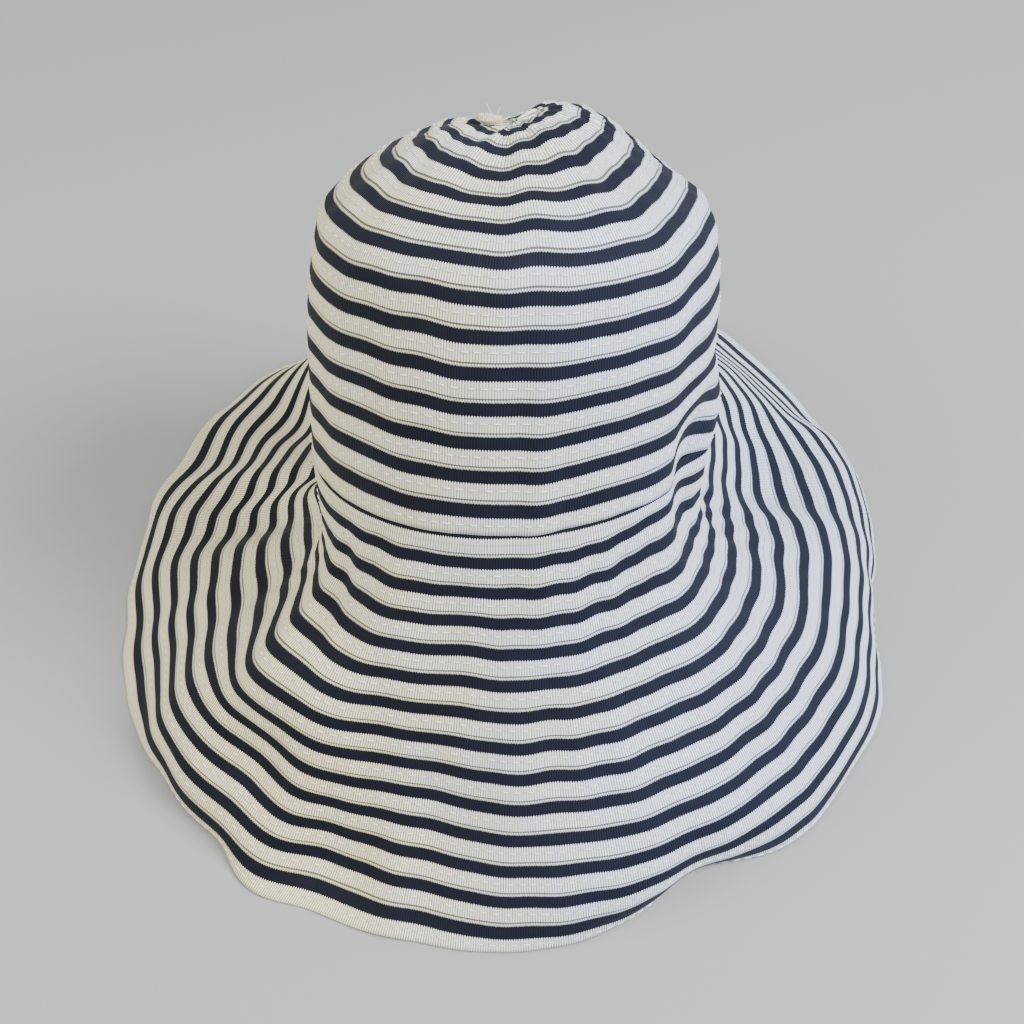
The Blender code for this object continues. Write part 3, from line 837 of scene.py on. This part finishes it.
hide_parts("crown")

made = sewn_piece(brim_point, brim_rows, brim_relief, SEEDS["brim lip"])
brim_points, brim_counts, number, share, brim_line, brim_out = made
columns, rows = brim_points.shape[:2]
brim_faces = [grid_faces(columns, rows)]
brim_map = [grid_map(brim_counts, number, share)]
brim_piece = add_piece("brim_ribbon", brim_points.reshape(-1, 3), brim_faces, brim_map, sharp=CRISP_EDGE)
give_wall(brim_piece, RIBBON_WALL)
brim_piece.data.materials.append(ribbon)
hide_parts("brim")
print("quads:", len(crown_piece.data.polygons), len(brim_piece.data.polygons))

# %% [markdown]
# ## Running stitches
# Each round is held by one row of running stitches along the middle of its wide ivory band. A stitch is a
# short length of thread that rises out of the cloth and dips back into it, so it is a small pillow that is
# round across and thin at both ends. All the stitches of a round are worked out in one call.

# %% Sew the stitches
STITCH_SPACING = 0.0056
STITCH_LENGTH = 0.0038
STITCH_WIDTH = 0.00070
STITCH_RISE = 0.00032
STITCH_DRIFT = 0.10
STITCH_LENGTHS = (0.85, 1.1)
STITCH_ALONG = 6
STITCH_AROUND = 5


def stitch_row(ring, outward, random):
    """At place a of a stitch an ellipse of size sqrt(1 - 0.97 a squared), most of it above the cloth."""
    ring = np.vstack([ring, ring[:1]])
    outward = np.vstack([outward, outward[:1]])
    length = np.concatenate([[0], np.cumsum(np.linalg.norm(np.diff(ring, axis=0), axis=1))])
    count = int(length[-1] / STITCH_SPACING)
    drift = random.uniform(-STITCH_DRIFT, STITCH_DRIFT, count)
    middles = (np.arange(count) + 0.5 + drift) * length[-1] / count
    along = np.linspace(-1, 1, STITCH_ALONG)
    longer = random.uniform(*STITCH_LENGTHS, count)[:, None]
    place = (middles[:, None] + along * longer * STITCH_LENGTH / 2) % length[-1]
    path = np.stack([np.interp(place, length, ring[:, i]) for i in range(3)], -1)
    up = np.stack([np.interp(place, length, outward[:, i]) for i in range(3)], -1)
    step = np.gradient(path, axis=1)
    aside = np.cross(up, step)
    aside = aside / np.linalg.norm(aside, axis=-1, keepdims=True)
    full = np.sqrt(1 - 0.97 * along**2)[None, :, None, None]
    turn = np.linspace(0, 2 * math.pi, STITCH_AROUND, endpoint=False)[None, None, :, None]
    across = aside[:, :, None] * np.cos(turn) * STITCH_WIDTH / 2
    rise = up[:, :, None] * (np.sin(turn) + 0.6) * STITCH_RISE
    return path[:, :, None] + (across + rise) * full


def stitch_piece(name, line, outward, seed):
    """All rows of a piece as one mesh: quads between the rings of each stitch, and a cap at both ends."""
    random = np.random.default_rng(seed)
    rows = [stitch_row(line[:, k], outward[:, k], random) for k in range(line.shape[1])]
    points = np.concatenate(rows)
    count = len(points)
    ring = np.arange(STITCH_AROUND)
    after = (ring + 1) % STITCH_AROUND
    first = np.arange(STITCH_ALONG - 1)[:, None] * STITCH_AROUND
    second = first + STITCH_AROUND
    quads = np.stack([first + ring, second + ring, second + after, first + after], -1).reshape(-1, 4)
    caps = np.stack([ring[::-1], ring + (STITCH_ALONG - 1) * STITCH_AROUND])
    start = np.arange(count)[:, None, None] * STITCH_ALONG * STITCH_AROUND
    faces = [(quads[None] + start).reshape(-1, 4), (caps[None] + start).reshape(-1, STITCH_AROUND)]
    print(name, "has", count, "stitches")
    return add_piece(name, points.reshape(-1, 3), faces)


def thread_material():
    """Cotton thread in a plain ivory."""
    material, _, shader = new_material("cotton_thread", 0.75, 0.05, 0.2)
    shader.inputs["Base Color"].default_value = (0.80, 0.765, 0.67, 1)
    return material


thread = thread_material()
crown_stitches = stitch_piece("crown_stitches", crown_line, crown_out, SEEDS["crown stitches"])
crown_stitches.data.materials.append(thread)
brim_stitches = stitch_piece("brim_stitches", brim_line, brim_out, SEEDS["brim stitches"])
brim_stitches.data.materials.append(thread)

# %% [markdown]
# ## The gathered end of the ribbon
# Beside the tip the ribbon's end is folded in half and pinched into a small cream tuft, and two loose
# thread ends stand up from it. The tuft is a tube open along one side, tight at both ends and full of small
# pleats, lying on the crown.

# %% Tuft
TUFT_LENGTH = 0.0102
TUFT_WIDTH = 0.0060
TUFT_HEIGHT = 0.0034
TUFT_PLEATS = 7
TUFT_CURL = 0.0013
TUFT_AZIMUTH = -111
TUFT_OFFSET = 0.0130
TUFT_LIFT = 0.0012
TUFT_OPENING = (-3.3, 1.9)
TUFT_RIBS = 13
TUFT_WALL = 0.0004


def tuft_points(along, around):
    """(1 - u squared) to the power 0.4, times the sine and 1 - cosine of the turn, with pleats."""
    u, v = np.meshgrid(along, around, indexing="ij")
    full = np.sqrt(np.clip(1 - u**2, 0, 1)) ** 0.8 + 0.06
    pleat = 1 + 0.07 * np.sin(TUFT_PLEATS * v + 3 * u) + 0.05 * np.sin(17 * u + 4 * v)
    x = TUFT_LENGTH / 2 * u * (1 + 0.06 * np.cos(2 * v))
    y = TUFT_WIDTH / 2 * full * pleat * np.sin(v)
    z = TUFT_HEIGHT / 2 * full * pleat * (1 - np.cos(v)) + TUFT_CURL * u**2
    return np.stack([x, y, z], -1)


def crown_frame(azimuth, offset):
    """A point of the bare crown at a distance from its top, with the outward normal."""
    azimuth = np.array([math.radians(azimuth)])
    arc = CROWN_LENGTH - offset
    turned = crown_surface(azimuth + 0.05, arc) - crown_surface(azimuth - 0.05, arc)
    fallen = crown_surface(azimuth, arc - 0.001) - crown_surface(azimuth, arc + 0.001)
    normal = np.cross(fallen, turned)[0]
    return (crown_surface(azimuth, arc) - ORIGIN)[0], normal / np.linalg.norm(normal)


foot, up = crown_frame(TUFT_AZIMUTH, TUFT_OFFSET)
side = np.array([1.0, 0.0, 0.0]) - up * up[0]
side = side / np.linalg.norm(side)
back = np.cross(up, side)
local = tuft_points(np.linspace(-1, 1, 40), np.linspace(*TUFT_OPENING, 48))
tuft = foot + local[..., :1] * side + local[..., 1:2] * back + (local[..., 2:] + TUFT_LIFT) * up
columns, rows = tuft.shape[:2]
column, row = np.meshgrid(np.arange(columns - 1), np.arange(rows - 1), indexing="ij")
here = column * rows + row
there = here + rows
quads = np.stack([here, there, there + 1, here + 1], -1).reshape(-1, 4)
tuft_u = np.linspace(0, TUFT_RIBS, columns)
tuft_v = np.linspace(0, 1, rows)
corners = [(0, 0), (1, 0), (1, 1), (0, 1)]
tuft_map = np.stack([np.stack([tuft_u[column + a], tuft_v[row + b]], -1) for a, b in corners], 2)
tuft_piece = add_piece("gathered_end", tuft.reshape(-1, 3), [quads], [tuft_map.reshape(-1, 4, 2)])
give_wall(tuft_piece, TUFT_WALL)
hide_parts("ribbon_knot")


def cream_ribbon():
    """Cream cloth with ribs, in soft patches of a deeper and a paler cream, with painted shade in the rib
    grooves.
    """
    material, tree, shader = new_material("cream_grosgrain", 0.68, 0.3)
    where = add_node(tree, "ShaderNodeUVMap", uv_map="ribbon").outputs[0]
    ribs = add_node(tree, "ShaderNodeSeparateXYZ", {0: where}).outputs[0]
    place = add_node(tree, "ShaderNodeTexCoord").outputs["Object"]
    wave = rib_wave(tree, ribs)
    patch = noise(tree, place, 300.0, 3.0)
    color = mix_color(tree, patch, (0.46, 0.39, 0.27, 1), (0.70, 0.64, 0.51, 1))
    # Painted shade in the rib grooves of the cream
    color = mix_color(tree, 1.0, color, ramp(tree, wave, -1.0, 0.6, 0.78, 1.0), "MULTIPLY")
    tree.links.new(color, shader.inputs["Base Color"])
    height = math_node(tree, "MULTIPLY_ADD", wave, 0.05, math_node(tree, "MULTIPLY", patch, 0.2))
    relief = add_node(tree, "ShaderNodeBump", {"Height": height, "Distance": 0.001, "Strength": 0.9})
    tree.links.new(relief.outputs[0], shader.inputs["Normal"])
    return material


cream = cream_ribbon()
tuft_piece.data.materials.append(cream)

# %% Loose thread ends
THREAD_RADIUS = 0.00014
LOOSE_ENDS = [
    {"from": (0.0004, 0.0026), "lean": (-0.0026, 0.0070), "bend": 0.0008},
    {"from": (0.0028, 0.0026), "lean": (0.0012, 0.0058), "bend": -0.0005},
]


def loose_end(row):
    """A line that leans and bends as its row says, swept by a circle that narrows to its free end."""
    t = np.linspace(0, 1, 12)[:, None]
    x = row["from"][0] + row["lean"][0] * t + row["bend"] * np.sin(math.pi * t)
    z = row["from"][1] + row["lean"][1] * t
    middle = foot + x * side + z * up
    turn = np.linspace(0, 2 * math.pi, 6, endpoint=False)[None, :, None]
    radius = THREAD_RADIUS * (1.1 - 0.6 * t)[:, None]
    return middle[:, None] + radius * (np.cos(turn) * side + np.sin(turn) * back)


ends = np.stack([loose_end(row) for row in LOOSE_ENDS])
count, along, around = ends.shape[:3]
a, b = np.meshgrid(np.arange(along - 1) * around, np.arange(around), indexing="ij")
c = (b + 1) % around
quads = np.stack([a + b, a + c, a + around + c, a + around + b], -1).reshape(-1, 4)
caps = np.stack([np.arange(around)[::-1], np.arange(around) + (along - 1) * around])
start = (np.arange(count) * along * around)[:, None, None]
thread_ends = add_piece(
    "loose_thread_ends",
    ends.reshape(-1, 3),
    [(quads[None] + start).reshape(-1, 4), (caps[None] + start).reshape(-1, around)],
)
thread_ends.data.materials.append(thread)

# %% [markdown]
# ## The floor and the light
# A plain grey floor and plain soft light: one large lamp high on the right in front, a weaker warm one on
# the left, and an even sky that fills the shadows.

# %% Floor
FLOOR = 4.0
floor_mesh = bpy.data.meshes.new("floor")
corners = [(-FLOOR, -FLOOR, 0), (FLOOR, -FLOOR, 0), (FLOOR, FLOOR, 0), (-FLOOR, FLOOR, 0)]
floor_mesh.from_pydata(corners, [], [(0, 1, 2, 3)])
floor = bpy.data.objects.new("floor", floor_mesh)
bpy.context.scene.collection.objects.link(floor)
floor_material, floor_tree, floor_shader = new_material("pale_floor", 0.6, 0.0, 0.3)
floor_shader.inputs["Base Color"].default_value = (0.318, 0.328, 0.322, 1)
floor_mesh.materials.append(floor_material)

# %% Light
LAMP_AIM = (0, 0, 0.1)


def add_lamp(name, place, size, power, color):
    """A square soft lamp that points at the middle of the hat, along the line from its place to there."""
    data = bpy.data.lights.new(name, "AREA")
    data.size = size
    data.energy = power
    data.color = color
    lamp = bpy.data.objects.new(name, data)
    lamp.location = place
    aim = Vector(LAMP_AIM) - Vector(place)
    lamp.rotation_euler = aim.to_track_quat("-Z", "Y").to_euler()
    bpy.context.scene.collection.objects.link(lamp)


add_lamp("key", (1.3, -0.5, 1.5), 0.8, 80.0, (0.97, 0.985, 1.0))
add_lamp("fill", (-1.3, -0.6, 1.2), 1.4, 32.0, (1.0, 0.95, 0.84))
world = bpy.data.worlds.new("soft_sky")
world.use_nodes = True
world.node_tree.nodes["Background"].inputs[0].default_value = (0.93, 0.96, 1.0, 1)
world.node_tree.nodes["Background"].inputs[1].default_value = 0.90
bpy.context.scene.world = world
